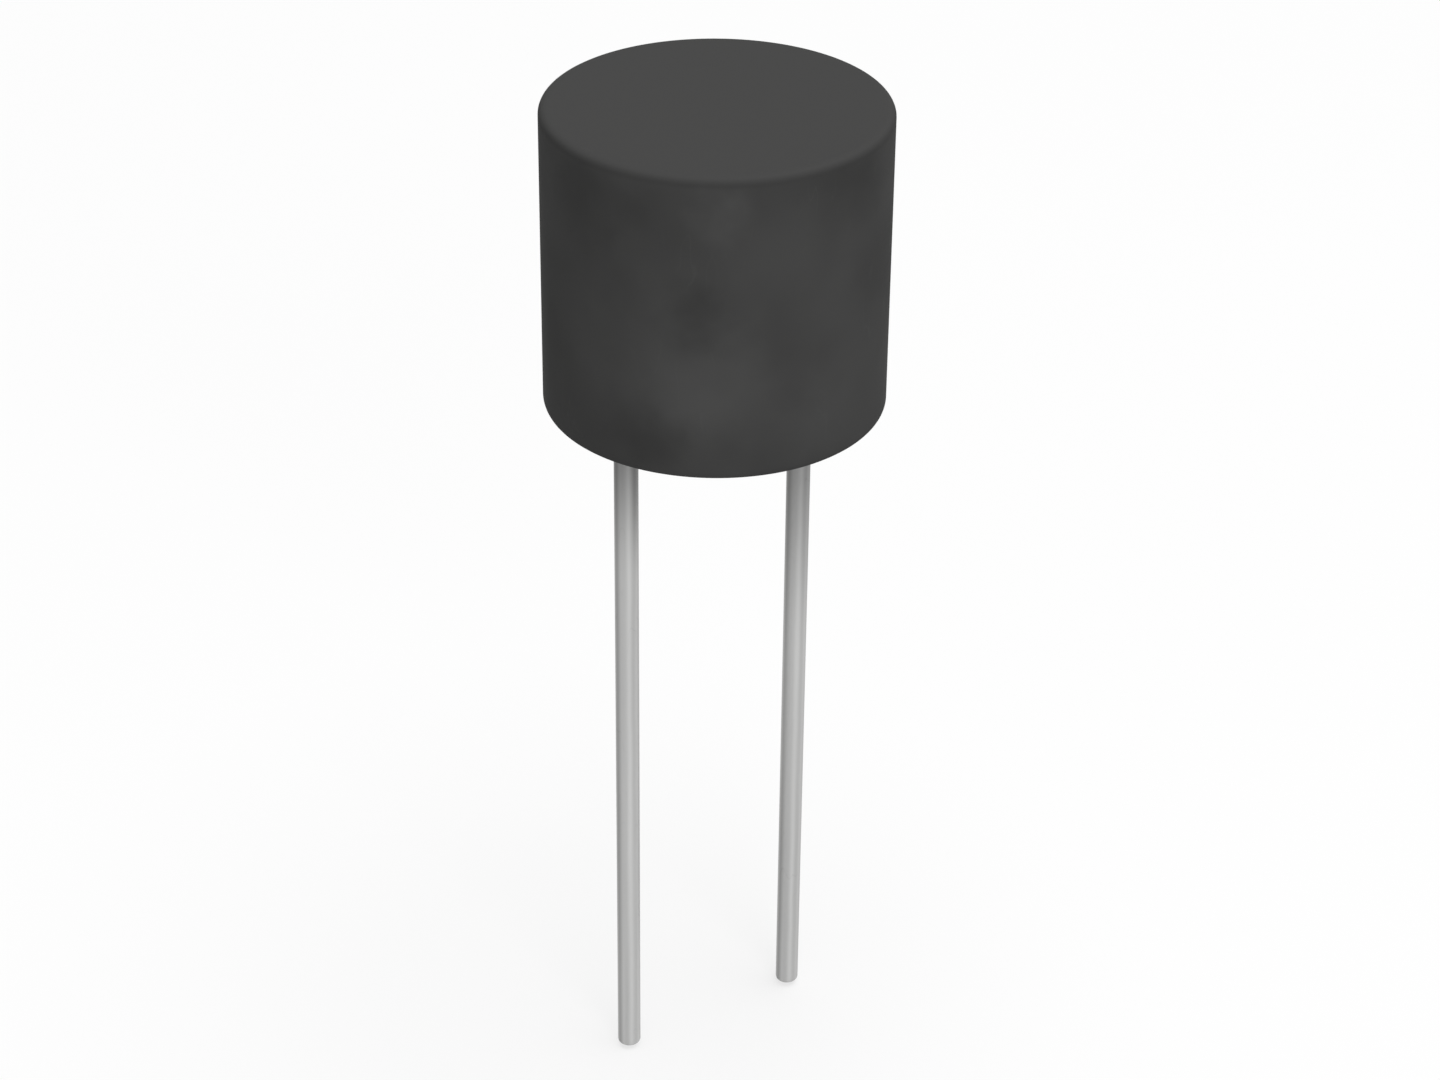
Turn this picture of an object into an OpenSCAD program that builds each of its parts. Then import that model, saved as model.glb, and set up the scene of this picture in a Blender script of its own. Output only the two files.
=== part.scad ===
// Miniature fuse for a printed circuit board: a round moulded can on two long leads.
// The seating plane is z = 0, the leads point down and lie on the X axis.

/* [Can] */
// Outside diameter of the can
body_d = 8.35; // [8:0.05:9.5]
// Height of the can above the board
body_h = 7.7; // [7:0.1:9.5]

/* [Cap] */
// Wall of the cap's skirt, round the base
skirt_wall = 0.45; // [0.4:0.05:0.7]
// Width of the ledge inside the cap that stops the base
ledge_w = 0.15; // [0.1:0.05:0.3]
// Thickness of the cap's roof
roof_t = 0.8; // [0.5:0.1:1.2]
// Round on the cap's top edge
top_round = 0.2; // [0.1:0.02:0.5]
// Round on the outside of the cap's rim
rim_round = 0.2; // [0.1:0.05:0.25]
// Round in the corner under the roof
cavity_round = 0.4; // [0.2:0.1:0.8]
// Chamfer inside the cap's rim that guides the base in
rim_chamfer = 0.08; // [0.04:0.02:0.14]

/* [Base] */
// Height of the plug that closes the cap
plug_h = 1.8; // [1.5:0.1:2.2]
// Depth of the plug's underside above the board
plug_sink = 0.08; // [0.04:0.01:0.1]
// Clearance all round between plug and skirt
plug_gap = 0.02; // [0.01:0.01:0.05]
// Chamfer on the plug's edges
plug_chamfer = 0.08; // [0.04:0.02:0.24]
// Radius of the half-round snap bead on the plug
snap_r = 0.14; // [0.08:0.02:0.2]
// Height of the snap bead above the plug's underside
snap_rise = 0.95; // [0.6:0.05:1.1]
// Clearance between snap bead and groove
snap_gap = 0.02; // [0.01:0.01:0.04]
// Diameter of the collar round each lead
collar_d = 1.6; // [1.1:0.05:1.7]
// Clearance between the collars' outer flanks and the cap
collar_gap = 0.3; // [0.25:0.05:0.35]
// Height of the collars above the plug
collar_h = 0.9; // [0.5:0.1:1.3]
// Round on the collars' top edge
collar_round = 0.12; // [0.05:0.01:0.18]
// Thickness of the web between the collars
web_t = 0.5; // [0.3:0.05:0.8]
// Height of the web above the plug
web_h = 0.5; // [0.3:0.1:0.5]
// Diameter of the moulding gate's recess
gate_d = 1.3; // [0.8:0.1:2]
// Depth of the moulding gate's recess
gate_depth = 0.12; // [0.05:0.01:0.25]

/* [Leads] */
// Distance between the two leads
lead_pitch = 5.08; // [4.9:0.02:5.2]
// Diameter of a lead
lead_d = 0.6; // [0.5:0.05:0.65]
// Length of a lead below the board's surface
lead_l = 18.8; // [4:0.1:30]
// Broken edge at a lead's cut tip
tip_chamfer = 0.1; // [0.02:0.01:0.12]
// Length over which the round wire becomes flat
neck_h = 0.6; // [0.3:0.1:1]
// Width of a lead's flattened end
blade_w = 0.8; // [0.75:0.05:0.9]
// Thickness of a lead's flattened end
blade_t = 0.34; // [0.2:0.02:0.4]
// Round on the corners of the flattened end
blade_round = 0.08; // [0.04:0.01:0.12]
// Height of the prongs above the slot's round bottom
prong_h = 0.28; // [0.25:0.01:0.4]

/* [Element] */
// Height of the element above the collars
element_rise = 1.2; // [0.9:0.1:1.6]
// Diameter of the glass-fibre strand
core_d = 0.25; // [0.15:0.01:0.28]
// Length of strand that stands out of each solder joint
core_poke = 0.04; // [0.02:0.02:0.14]
// Diameter of the fuse wire
wire_d = 0.06; // [0.03:0.005:0.07]
// Clearance between fuse wire and strand
wire_gap = 0.01; // [0.008:0.001:0.02]
// Number of turns of the fuse wire
turns = 14; // [6:1:18]
// Bend where the wire leaves the strand's line to wind round it
bend_r = 0.12; // [0.08:0.01:0.16]
// Length of wire inside each solder joint
tail_l = 0.8; // [0.5:0.05:0.9]

/* [Solder] */
// Diameter of a solder joint
solder_d = 1.1; // [0.95:0.05:1.2]
// Distance between a solder joint and the first turn
solder_gap = 0.05; // [0.03:0.01:0.1]
// Clearance of the wound strand in the lead's slot
slot_gap = 0.025; // [0.01:0.005:0.04]
// Clearance of the wire's tail in the solder
tail_gap = 0.004; // [0.002:0.001:0.008]

/* [Hidden] */

$fn = 64;
LEFT = -1;
RIGHT = 1;
cut = 1;                                  // how far a cutting shape runs past what it cuts

body_r = body_d / 2;
bore_r = body_r - skirt_wall;             // inside of the skirt
plug_r = bore_r - plug_gap;
cavity_r = bore_r - ledge_w;
plug_top = plug_sink + plug_h;            // the ledge rests here
snap_z = plug_sink + snap_rise;
collar_top = plug_top + collar_h;
element_z = collar_top + element_rise;

wound_r = core_d / 2 + wire_gap + wire_d / 2;      // the wire's centre line round the strand
slot_r = wound_r + wire_d / 2 + slot_gap;
blade_top = element_z + prong_h;
blade_reach = norm([blade_w, blade_t]) / 2;        // from a lead's axis to a corner of its flat end
core_l = lead_pitch + solder_d + 2 * core_poke;

// The wound stretch, laid flat: x runs along the strand and s round it.
wound_x = lead_pitch - solder_d - 2 * solder_gap;
wound_s = 2 * PI * wound_r * turns;
lay_angle = atan((wound_s - 2 * bend_r) / (wound_x - 2 * bend_r));
bend_x = bend_r * sin(lay_angle);
bend_s = bend_r * (1 - cos(lay_angle));
run_x = (wound_s - 2 * bend_s) / tan(lay_angle);   // along the strand, between the two bends
half_wound_x = bend_x + run_x / 2;
tail_x = lead_pitch / 2 - solder_d / 2 + tail_l;
bend_rings = 5;
turn_rings = 12;
run_rings = turns * turn_rings;
wire_sides = 8;

// ---- small helpers ----

// What a square corner loses to a round of radius r; the corner lies at the origin.
module corner_round(r) {
    translate([-r, -r])
        difference() {
            square(r + cut);
            circle(r);
        }
}

// What a square corner loses to a chamfer of width c; the corner lies at the origin.
module corner_chamfer(c) {
    polygon([[-c, 0], [-c, cut], [cut, cut], [cut, -c], [0, -c]]);
}

// A shape drawn in Y and Z, given the thickness t along X.
module across_x(t) {
    translate([-t / 2, 0, 0])
        rotate([90, 0, 90])
            linear_extrude(t)
                children();
}

// ---- cap ----

module cap_profile() {
    difference() {
        square([body_r, body_h]);
        translate([body_r, body_h])
            corner_round(top_round);
        translate([body_r, 0])
            mirror([0, 1])
                corner_round(rim_round);
        translate([-cut, -cut])
            square([bore_r + cut, plug_top + cut]);
        translate([bore_r, 0])
            mirror([1, 0])
                mirror([0, 1])
                    corner_chamfer(rim_chamfer);
        translate([bore_r, snap_z])
            circle(snap_r + snap_gap);
        difference() {
            translate([-cut, 0])
                square([cavity_r + cut, body_h - roof_t]);
            translate([cavity_r, body_h - roof_t])
                corner_round(cavity_round);
        }
    }
}

module cap() {
    color("#4a4a49")
        rotate_extrude()
            cap_profile();
}

// ---- base ----

module plug_profile() {
    difference() {
        translate([0, plug_sink])
            square([plug_r, plug_h]);
        translate([plug_r, plug_top])
            corner_chamfer(plug_chamfer);
        translate([plug_r, plug_sink])
            mirror([0, 1])
                corner_chamfer(plug_chamfer);
    }
    intersection() {
        translate([plug_r, snap_z])
            circle(snap_r);
        translate([plug_r - snap_r / 2, snap_z - snap_r])
            square(2 * snap_r);
    }
}

module collar() {
    translate([0, 0, plug_top - plug_chamfer])
        rotate_extrude()
            difference() {
                square([collar_d / 2, collar_h + plug_chamfer]);
                translate([collar_d / 2, collar_h + plug_chamfer])
                    corner_round(collar_round);
            }
}

// The collars' outer flanks follow the cap's inside wall.
module collars() {
    intersection() {
        for (side = [LEFT, RIGHT])
            translate([side * lead_pitch / 2, 0, 0])
                collar();
        cylinder(h = collar_top + cut, r = cavity_r - collar_gap);
    }
}

module base() {
    color("#424241")
        difference() {
            union() {
                rotate_extrude()
                    plug_profile();
                collars();
                translate([-lead_pitch / 2, -web_t / 2, plug_top - plug_chamfer])
                    cube([lead_pitch, web_t, web_h + plug_chamfer]);
            }
            translate([0, 0, plug_sink - cut])
                cylinder(h = gate_depth + cut, d = gate_d);
            for (side = [LEFT, RIGHT])
                translate([side * lead_pitch / 2, 0, 0])
                    flat_end();
        }
}

// ---- leads ----

// The wire's flattened end, seen along X: it widens from the round wire, and its head is slotted.
module flat_end_side() {
    difference() {
        polygon([
            [-lead_d / 2, plug_sink],
            [lead_d / 2, plug_sink],
            [blade_w / 2, plug_sink + neck_h],
            [blade_w / 2, blade_top],
            [-blade_w / 2, blade_top],
            [-blade_w / 2, plug_sink + neck_h],
        ]);
        for (side = [LEFT, RIGHT])
            translate([side * blade_w / 2, blade_top])
                mirror([side == LEFT ? 1 : 0, 0])
                    corner_round(blade_round);
        translate([0, element_z])
            circle(slot_r);
        translate([-slot_r, element_z])
            square([2 * slot_r, prong_h + cut]);
    }
}

// The same end seen along Y: it thins from the round wire.
module flat_end_front() {
    polygon([
        [-lead_d / 2, plug_sink],
        [lead_d / 2, plug_sink],
        [blade_t / 2, plug_sink + neck_h],
        [blade_t / 2, blade_top + cut],
        [-blade_t / 2, blade_top + cut],
        [-blade_t / 2, plug_sink + neck_h],
    ]);
}

module flat_end() {
    intersection() {
        across_x(lead_d + cut)
            flat_end_side();
        rotate([0, 0, 90])
            across_x(blade_w + cut)
                flat_end_front();
        union() {
            translate([0, 0, plug_sink])
                cylinder(h = neck_h, r1 = lead_d / 2, r2 = blade_reach);
            translate([0, 0, plug_sink + neck_h])
                cylinder(h = blade_top + cut - plug_sink - neck_h, r = blade_reach);
        }
    }
}

module round_wire() {
    rotate_extrude()
        polygon([
            [0, -lead_l],
            [lead_d / 2 - tip_chamfer, -lead_l],
            [lead_d / 2, -lead_l + tip_chamfer],
            [lead_d / 2, plug_sink],
            [0, plug_sink],
        ]);
}

module lead(side) {
    translate([side * lead_pitch / 2, 0, 0]) {
        round_wire();
        flat_end();
    }
}

module lead_left() {
    color("#bcbcbb")
        lead(LEFT);
}

module lead_right() {
    color("#bcbcbb")
        lead(RIGHT);
}

// ---- element ----

module core_rod() {
    translate([-core_l / 2, 0, element_z])
        rotate([0, 90, 0])
            cylinder(h = core_l, d = core_d);
}

module wire_core() {
    color("#e4e6df")
        core_rod();
}

// A station of the wire's centre line: [x, s, angle between the wire and the strand].
function first_bend(i) =
    let (a = lay_angle * i / bend_rings)
    [-half_wound_x + bend_r * sin(a), bend_r * (1 - cos(a)), a];

function run(i) =
    let (u = i / run_rings)
    [-run_x / 2 + u * run_x, bend_s + u * (wound_s - 2 * bend_s), lay_angle];

function turned_round(station) = [-station[0], wound_s - station[1], station[2]];

stations = [
    [-tail_x, 0, 0],
    for (i = [0 : bend_rings - 1]) first_bend(i),
    for (i = [0 : run_rings]) run(i),
    for (i = [bend_rings - 1 : -1 : 0]) turned_round(first_bend(i)),
    [tail_x, wound_s, 0],
];

// The ring of points round the wire at a station; s = 0 lies on top of the strand.
function ring(station) =
    let (
        turn = station[1] / wound_r * 180 / PI,
        out = [0, sin(turn), cos(turn)],
        along = [cos(station[2]), sin(station[2]) * cos(turn), -sin(station[2]) * sin(turn)],
        beside = cross(along, out),
        centre = [station[0], 0, element_z] + wound_r * out
    )
    [for (k = [0 : wire_sides - 1])
        let (a = 360 * k / wire_sides)
        centre + wire_d / 2 * (cos(a) * out + sin(a) * beside)];

module fuse_wire() {
    last = len(stations) - 1;
    color("#b98a5c")
        polyhedron(
            points = [for (s = stations) each ring(s)],
            faces = [
                [for (k = [0 : wire_sides - 1]) k],
                for (i = [0 : last - 1], k = [0 : wire_sides - 1])
                    let (
                        a = i * wire_sides + k,
                        b = i * wire_sides + (k + 1) % wire_sides
                    )
                    [b, a, a + wire_sides, b + wire_sides],
                [for (k = [wire_sides - 1 : -1 : 0]) last * wire_sides + k],
            ]
        );
}

// ---- solder ----

module tail_hole() {
    translate([0, 0, element_z + wound_r])
        rotate([0, 90, 0])
            cylinder(h = 2 * tail_x, d = wire_d + 2 * tail_gap, center = true);
}

module solder(side) {
    color("#c9cbcc")
        difference() {
            translate([side * lead_pitch / 2, 0, element_z])
                sphere(d = solder_d);
            translate([side * lead_pitch / 2, 0, 0])
                flat_end();
            core_rod();
            tail_hole();
        }
}

module solder_left() {
    solder(LEFT);
}

module solder_right() {
    solder(RIGHT);
}

cap();
base();
lead_left();
lead_right();
wire_core();
fuse_wire();
solder_left();
solder_right();
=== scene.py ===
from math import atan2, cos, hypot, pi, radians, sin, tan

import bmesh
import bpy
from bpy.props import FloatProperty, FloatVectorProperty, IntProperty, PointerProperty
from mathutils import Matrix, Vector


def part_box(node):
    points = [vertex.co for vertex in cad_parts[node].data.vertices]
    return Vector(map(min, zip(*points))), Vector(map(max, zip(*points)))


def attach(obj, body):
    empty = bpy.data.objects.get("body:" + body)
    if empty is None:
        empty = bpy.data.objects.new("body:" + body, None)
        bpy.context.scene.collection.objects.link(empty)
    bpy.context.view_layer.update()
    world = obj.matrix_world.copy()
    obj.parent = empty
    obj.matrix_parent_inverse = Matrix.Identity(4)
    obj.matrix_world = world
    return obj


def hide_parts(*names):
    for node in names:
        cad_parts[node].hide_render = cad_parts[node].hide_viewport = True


bl_info = {
    "name": "Miniature Fuse",
    "version": (1, 0, 0),
    "blender": (4, 5, 0),
    "location": "3D View > Sidebar > Fuse",
    "description": "Models and dresses a round board fuse with two long leads",
    "category": "Add Mesh",
}

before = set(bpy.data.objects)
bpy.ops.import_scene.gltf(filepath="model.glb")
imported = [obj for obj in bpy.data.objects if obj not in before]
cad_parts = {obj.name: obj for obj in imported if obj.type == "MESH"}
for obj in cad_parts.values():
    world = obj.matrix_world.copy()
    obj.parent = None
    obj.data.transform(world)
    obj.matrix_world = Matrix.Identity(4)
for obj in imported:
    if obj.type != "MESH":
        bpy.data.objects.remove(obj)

MM = 0.001
PER_MM = 1 / MM
NEAR = 0.002 * MM  # two places closer than this are the same place
ON_PLANE = NEAR / 10  # a corner closer than this to a cutting plane lies on it
CUT = 1 * MM  # how far cutting shapes reach, well past what they cut
HOLD = 0.1 * MM  # how far beyond a round edge a ring of edges keeps the face true
LEFT, RIGHT = -1, 1
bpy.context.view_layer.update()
CAP_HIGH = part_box("cap")[1]
BASE_LOW, BASE_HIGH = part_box("base")
LEAD_LOW, LEAD_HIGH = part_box("lead_right")
STRAND_LOW, STRAND_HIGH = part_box("wire_core")
STRAND_LEVEL = (STRAND_LOW.z + STRAND_HIGH.z) / 2
JOINT_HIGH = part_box("solder_right")[1]
WIRE_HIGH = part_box("fuse_wire")[1]


# ---- settings ----

def number(name, description, default, **kind):
    return FloatProperty(name=name, description=description, default=default, **kind)


def height(*given, **limits):
    return number(*given, precision=6, subtype="DISTANCE", unit="LENGTH", **limits)


def length(*given):
    return height(*given, min=0.0)


def turn(name, description, degrees):
    return number(name, description, radians(degrees), subtype="ANGLE", unit="ROTATION")


def share(*given):
    return number(*given, min=0.0, max=1.0, subtype="FACTOR")


def power(*given):
    return number(*given, min=0.0, unit="POWER")


def tint(name, description, default):
    return FloatVectorProperty(name=name, description=description, default=default, size=3,
                               min=0.0, max=1.0, subtype="COLOR")


def count(name, description, default):
    return IntProperty(name=name, description=description, default=default, min=1)


class FuseCapSizes(bpy.types.PropertyGroup):
    radius: length("Radius", "Outside radius of the can", CAP_HIGH.x)
    height: length("Height", "Height of the can above the board", CAP_HIGH.z)
    bore_radius: length("Bore Radius", "Inside radius of the skirt round the base", 3.725 * MM)
    cavity_radius: length("Cavity Radius", "Inside radius above the base", 3.575 * MM)
    roof: length("Roof", "Thickness of the roof", 0.8 * MM)
    top_round: length("Top Round", "Round on the top edge", 0.2 * MM)
    rim_round: length("Rim Round", "Round on the outside of the rim", 0.2 * MM)
    rim_chamfer: length("Rim Chamfer", "Chamfer inside the rim", 0.08 * MM)
    cavity_round: length("Cavity Round", "Round in the corner under the roof", 0.4 * MM)
    groove_radius: length("Groove Radius", "Radius of the half-round snap groove", 0.16 * MM)
    steps: count("Steps", "Faces round the can", 192)


class FuseBaseSizes(bpy.types.PropertyGroup):
    radius: length("Radius", "Radius of the plug that closes the cap", 3.705 * MM)
    sink: length("Sink", "Height of the underside above the board", BASE_LOW.z)
    height: length("Height", "Height of the plug", 1.8 * MM)
    chamfer: length("Chamfer", "Chamfer on the plug's edges", 0.08 * MM)
    bead_radius: length("Bead Radius", "Radius of the half-round snap bead", 0.14 * MM)
    bead_rise: length("Bead Rise", "Height of the snap bead above the underside", 0.95 * MM)
    collar_radius: length("Collar Radius", "Radius of the collar round each lead", 0.8 * MM)
    collar_round: length("Collar Round", "Round on the collars' top edge", 0.12 * MM)
    collar_steps: count("Collar Steps", "Faces round a collar", 96)
    flank_radius: length("Flank Radius", "Radius that the collars' outer flanks follow", 3.275 * MM)
    web_thickness: length("Web Thickness", "Thickness of the web between the collars", 0.5 * MM)
    web_height: length("Web Height", "Height of the web above the plug", 0.5 * MM)
    gate_radius: length("Gate Radius", "Radius of the moulding gate's recess", 0.65 * MM)
    gate_depth: length("Gate Depth", "Depth of the moulding gate's recess", 0.12 * MM)
    gate_round: length("Gate Round", "Round on the recess's edges", 0.03 * MM)


class FuseLeadSizes(bpy.types.PropertyGroup):
    pitch: length("Pitch", "Distance between the two leads", LEAD_LOW.x + LEAD_HIGH.x)
    radius: length("Radius", "Radius of the round wire", (LEAD_HIGH.x - LEAD_LOW.x) / 2)
    tip_round: length("Tip Round", "Round at the cut tip", 0.11 * MM)
    neck: length("Neck", "Length over which the round wire becomes flat", 0.6 * MM)
    blade_width: length("Blade Width", "Width of the flattened end", LEAD_HIGH.y - LEAD_LOW.y)
    blade_thickness: length("Blade Thickness", "Thickness of the flattened end", 0.34 * MM)
    slot_radius: length("Slot Radius", "Radius of the slot that holds the strand", 0.22 * MM)
    slot_steps: count("Slot Steps", "Faces round the shape that cuts the slot", 48)
    steps: count("Steps", "Faces round a lead", 64)


class FuseElementSizes(bpy.types.PropertyGroup):
    level: length("Level", "Height of the strand above the board", STRAND_LEVEL)
    strand_radius: length("Strand Radius", "Radius of the glass strand", STRAND_HIGH.y)
    strand_length: length("Strand Length", "Length of the glass strand", STRAND_HIGH.x - STRAND_LOW.x)
    strand_steps: count("Strand Steps", "Rings along the strand", 64)
    yarns: count("Yarns", "Yarns twisted into the strand", 7)
    yarn_corners: count("Yarn Corners", "Corners round the strand for each yarn", 6)
    yarn_groove: length("Yarn Groove", "Depth of the groove between two yarns", 0.02 * MM)
    twist: number("Twist", "Turn of the strand for each metre", 2600.0, unit="ROTATION")
    wire_radius: length("Wire Radius", "Radius of the melting wire", 0.03 * MM)
    wire_sides: count("Wire Sides", "Faces round the melting wire", 16)
    turns: count("Turns", "Turns of the wire round the strand", 14)
    turn_steps: count("Turn Steps", "Steps in each turn", 32)
    wound_length: length("Wound Length", "Length of strand that the wire is wound round", 3.88 * MM)
    bend: length("Bend", "Radius of the bend between a tail and the first turn", 0.12 * MM)
    bend_steps: count("Bend Steps", "Steps in each bend", 8)
    joint_radius: length("Joint Radius", "Radius of a solder joint", JOINT_HIGH.y)
    joint_steps: count("Joint Steps", "Faces round a solder joint before it is smoothed", 48)
    creep: length("Creep", "Length that the solder's steps down the lead are shares of", 0.22 * MM)
    creep_radius: length("Creep Radius", "Radius of the joint's underside that creeps", 0.5 * MM)


class FuseFinish(bpy.types.PropertyGroup):
    cap_colour: tint("Cap", "Moulded plastic of the cap", (0.057, 0.057, 0.0564))
    base_colour: tint("Base", "Moulded plastic of the base", (0.04, 0.04, 0.0395))
    tin_colour: tint("Tin", "Tin plating of the leads", (0.465, 0.465, 0.461))
    glass_colour: tint("Glass Fibre", "Strand that carries the element", (0.78, 0.8, 0.74))
    wire_colour: tint("Element Wire", "Melting wire", (0.6, 0.36, 0.2))
    solder_colour: tint("Solder", "Joints on the lead heads", (0.66, 0.67, 0.68))


class FuseStage(bpy.types.PropertyGroup):
    floor_colour: tint("Floor", "Pale floor", (0.93, 0.93, 0.93))
    floor_bounce: tint("Floor Bounce", "Share of the light that the floor throws back", (0.53, 0.53, 0.53))
    floor_evenness: share("Floor Evenness", "How far the floor's look is evened out to white", 0.65)
    white: tint("White", "The white that the background shows", (0.985, 0.985, 0.985))
    floor_reach: length("Floor Reach", "Radius of the floor", 1.5)
    floor_gap: length("Floor Gap", "Gap between the floor and the leads' tips", 0.1 * MM)
    world_light: share("World Light", "Level at which the world lights the fuse", 0.4)
    aim_height: height("Aim Height", "Height that the camera aims at", -4.045 * MM)
    side_shift: height("Side Shift", "Distance of the camera to the right of the fuse's axis", 0.169 * MM)
    distance: length("Distance", "Distance from camera to fuse", 85.927 * MM)
    azimuth: turn("Azimuth", "Turn of the camera round the fuse", -33.33)
    elevation: turn("Elevation", "Camera's height above the horizon", 30.492)
    roll: turn("Roll", "Tilt of the camera about its own view", 0.591)
    lens: number("Lens", "Focal length on a 36 mm wide sensor", 86.03, min=1.0, unit="CAMERA")
    top_power: power("Top Power", "Power of the softbox overhead", 6.2)
    front_power: power("Front Power", "Power of the softbox in front", 2.75)


# ---- modelling by hand ----

def enter_editing():
    bpy.ops.object.mode_set(mode="EDIT")


def leave_editing():
    bpy.ops.object.mode_set(mode="OBJECT")


def deselect_all():
    if bpy.context.object and bpy.context.object.mode != "OBJECT":
        leave_editing()
    bpy.ops.object.select_all(action="DESELECT")


def take(piece):
    """Select one piece and nothing else, and make it the active one."""
    deselect_all()
    piece.select_set(True)
    bpy.context.view_layer.objects.active = piece


def start_cylinder(name, radius, low, high, steps):
    """Add an upright cylinder between two heights and enter edit mode."""
    deselect_all()
    bpy.ops.mesh.primitive_cylinder_add(vertices=steps, radius=radius, depth=high - low,
                                        location=(0.0, 0.0, (low + high) / 2))
    return start_editing(name)


def start_editing(name):
    """Name the shape just added, put its place and size into its mesh and enter edit mode."""
    piece = bpy.context.object
    piece.name = name
    piece.data.name = name
    bpy.ops.object.transform_apply(location=True, rotation=True, scale=True)
    enter_editing()
    return piece


def pick(kind, test):
    """In edit mode, select the vertices, edges or faces for which test is true, and nothing else."""
    bpy.ops.mesh.select_mode(type=kind)
    bpy.ops.mesh.select_all(action="DESELECT")
    data = bpy.context.object.data
    mesh = bmesh.from_edit_mesh(data)
    items = {"VERT": mesh.verts, "EDGE": mesh.edges, "FACE": mesh.faces}[kind]
    chosen = [item for item in items if test(item)]
    if not chosen:
        raise RuntimeError(f"nothing to pick on {bpy.context.object.name}")
    for item in chosen:
        item.select_set(True)
    mesh.select_flush_mode()
    bmesh.update_edit_mesh(data)


def at(value, wanted):
    return abs(value - wanted) < NEAR


def radius_of(point):
    return hypot(point.x, point.y)


def pick_end(height, side):
    """Select the flat faces that lie at a height and look up (side 1) or down (side -1)."""
    pick("FACE", lambda face: face.normal.z * side > 0.9 and all(at(v.co.z, height) for v in face.verts))


def pick_ring(radius, height):
    """Select the ring of edges at a radius and a height."""
    pick("EDGE", lambda edge: all(at(radius_of(v.co), radius) and at(v.co.z, height) for v in edge.verts))


def pick_wall(radius, low, high):
    """Select the upright faces at a radius between two heights."""
    def on_wall(face):
        return all(at(radius_of(v.co), radius) and low - NEAR < v.co.z < high + NEAR for v in face.verts)
    pick("FACE", on_wall)


def stretch(x, y, z, centre=(0.0, 0.0, 0.0)):
    """Resize what is picked along each axis, about a centre."""
    bpy.ops.transform.resize(value=(x, y, z), center_override=centre)


def draw_out(x, y, z):
    """Extrude what is picked and move it."""
    bpy.ops.mesh.extrude_region_move(TRANSFORM_OT_translate={"value": (x, y, z)})


def raise_face(rise, across=1.0):
    """Extrude the picked face upwards by a rise and change its width."""
    draw_out(0.0, 0.0, rise)
    if across != 1.0:
        stretch(across, across, 1.0)


def bevel_rings(*rings):
    """Bevel rings of edges, each given by radius, height, width of the bevel and segments."""
    for radius, height, width, segments in rings:
        pick_ring(radius, height)
        bpy.ops.mesh.bevel(offset=width, offset_type="OFFSET", segments=segments, profile=0.5,
                           affect="EDGES", clamp_overlap=False)


def hold_end(height, side, width=HOLD):
    """Set a ring of edges inside the rim of the flat end at a height, to keep it true."""
    pick_end(height, side)
    bpy.ops.mesh.inset(thickness=width)


def bisect_level(height, **settings):
    """Cut through what is picked along a level plane."""
    bpy.ops.mesh.bisect(plane_co=(0.0, 0.0, height), plane_no=(0.0, 0.0, 1.0), threshold=ON_PLANE,
                        **settings)


def cut_ring(radius, low, high, height):
    """Cut a level ring of edges into the wall between two heights."""
    pick_wall(radius, low, high)
    bisect_level(height)


def push_half_round(radius, low, high, height, half_round, parts=8):
    """Push a half-round rib or groove outwards from the wall, centred at a height."""
    stations = [pi * (i / parts - 0.5) for i in range(parts + 1)]
    for angle in stations:
        cut_ring(radius, low, high, height + half_round * sin(angle))
    for angle in stations[1:-1]:
        pick_ring(radius, height + half_round * sin(angle))
        across = 1 + half_round * cos(angle) / radius
        stretch(across, across, 1.0)


def carve(piece, tool, operation):
    """Join, cut or trim a piece with a tool shape, which stays, and clear what the cut leaves."""
    take(piece)
    bpy.ops.object.modifier_add(type="BOOLEAN")
    modifier = piece.modifiers[-1]
    modifier.operation = operation
    modifier.solver = "EXACT"
    modifier.object = tool
    bpy.ops.object.modifier_apply(modifier=modifier.name)
    enter_editing()
    clear_slivers()
    leave_editing()


def clear_slivers():
    """In edit mode, merge corners that lie on each other and drop faces without area."""
    bpy.ops.mesh.select_mode(type="VERT")
    bpy.ops.mesh.select_all(action="SELECT")
    bpy.ops.mesh.remove_doubles(threshold=NEAR)
    bpy.ops.mesh.dissolve_degenerate(threshold=NEAR)


def turn_outwards():
    """In edit mode, make every face look outwards."""
    bpy.ops.mesh.select_all(action="SELECT")
    bpy.ops.mesh.normals_make_consistent(inside=False)


def split_many_sided():
    """In edit mode, split faces of more than four sides into even triangles."""
    bpy.ops.mesh.select_mode(type="FACE")
    bpy.ops.mesh.select_face_by_sides(number=4, type="GREATER", extend=False)
    bpy.ops.mesh.quads_convert_to_tris(quad_method="BEAUTY", ngon_method="BEAUTY")


def copy_of(piece, name):
    """A second piece of the same shape, with a mesh of its own."""
    copy = piece.copy()
    copy.data = piece.data.copy()
    copy.name = name
    copy.data.name = name
    bpy.context.scene.collection.objects.link(copy)
    return copy


def throw_away(tool):
    bpy.data.meshes.remove(tool.data)


def finish_piece(piece, node, material, angle=30.0):
    """Give a modelled piece its shading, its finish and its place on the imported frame."""
    take(piece)
    enter_editing()
    split_many_sided()
    leave_editing()
    bpy.ops.object.shade_smooth_by_angle(angle=radians(angle))
    piece.data.materials.clear()
    piece.data.materials.append(material)
    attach(piece, "root")
    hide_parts(node)


# ---- material nodes ----

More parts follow.
